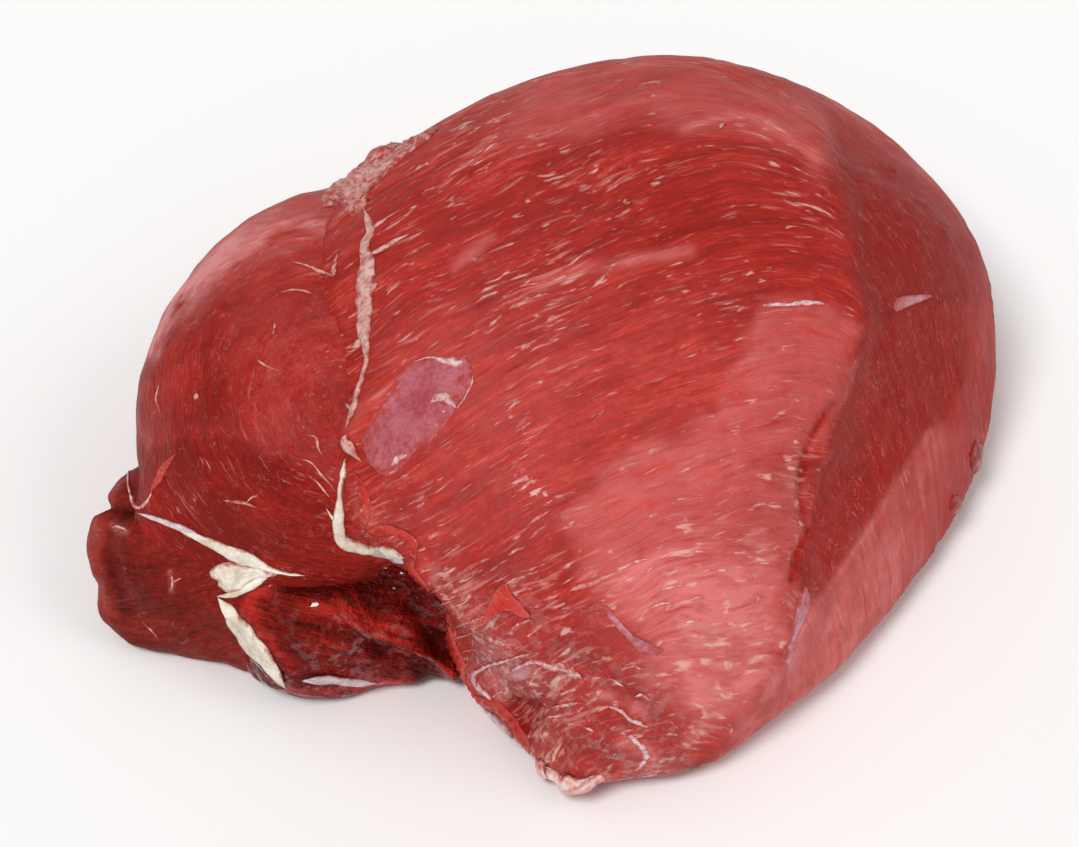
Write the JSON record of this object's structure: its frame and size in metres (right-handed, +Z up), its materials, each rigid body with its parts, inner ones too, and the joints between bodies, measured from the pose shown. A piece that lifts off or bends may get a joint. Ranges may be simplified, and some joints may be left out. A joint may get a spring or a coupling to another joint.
{
  "type": "raw beef topside joint",
  "caption": "Whole trimmed raw beef topside: a large domed muscle with a lower side muscle, a dark end lobe and a flap drawn out to a corner.",
  "frame": {"origin": "middle of the outer box in plan, on the table that the joint lies on", "axes": "+X along the grain, from the small end lobe to the large dome; +Y from the cut front to the back; +Z up"},
  "size_m": [0.3612, 0.2802, 0.156],
  "materials": {
    "lean_beef": "moist raw lean meat with a fine grain, deep red, paler where it has dried"
  },
  "bodies": {
    "root": {"beef_topside": "lean_beef"}
  },
  "joints": []
}
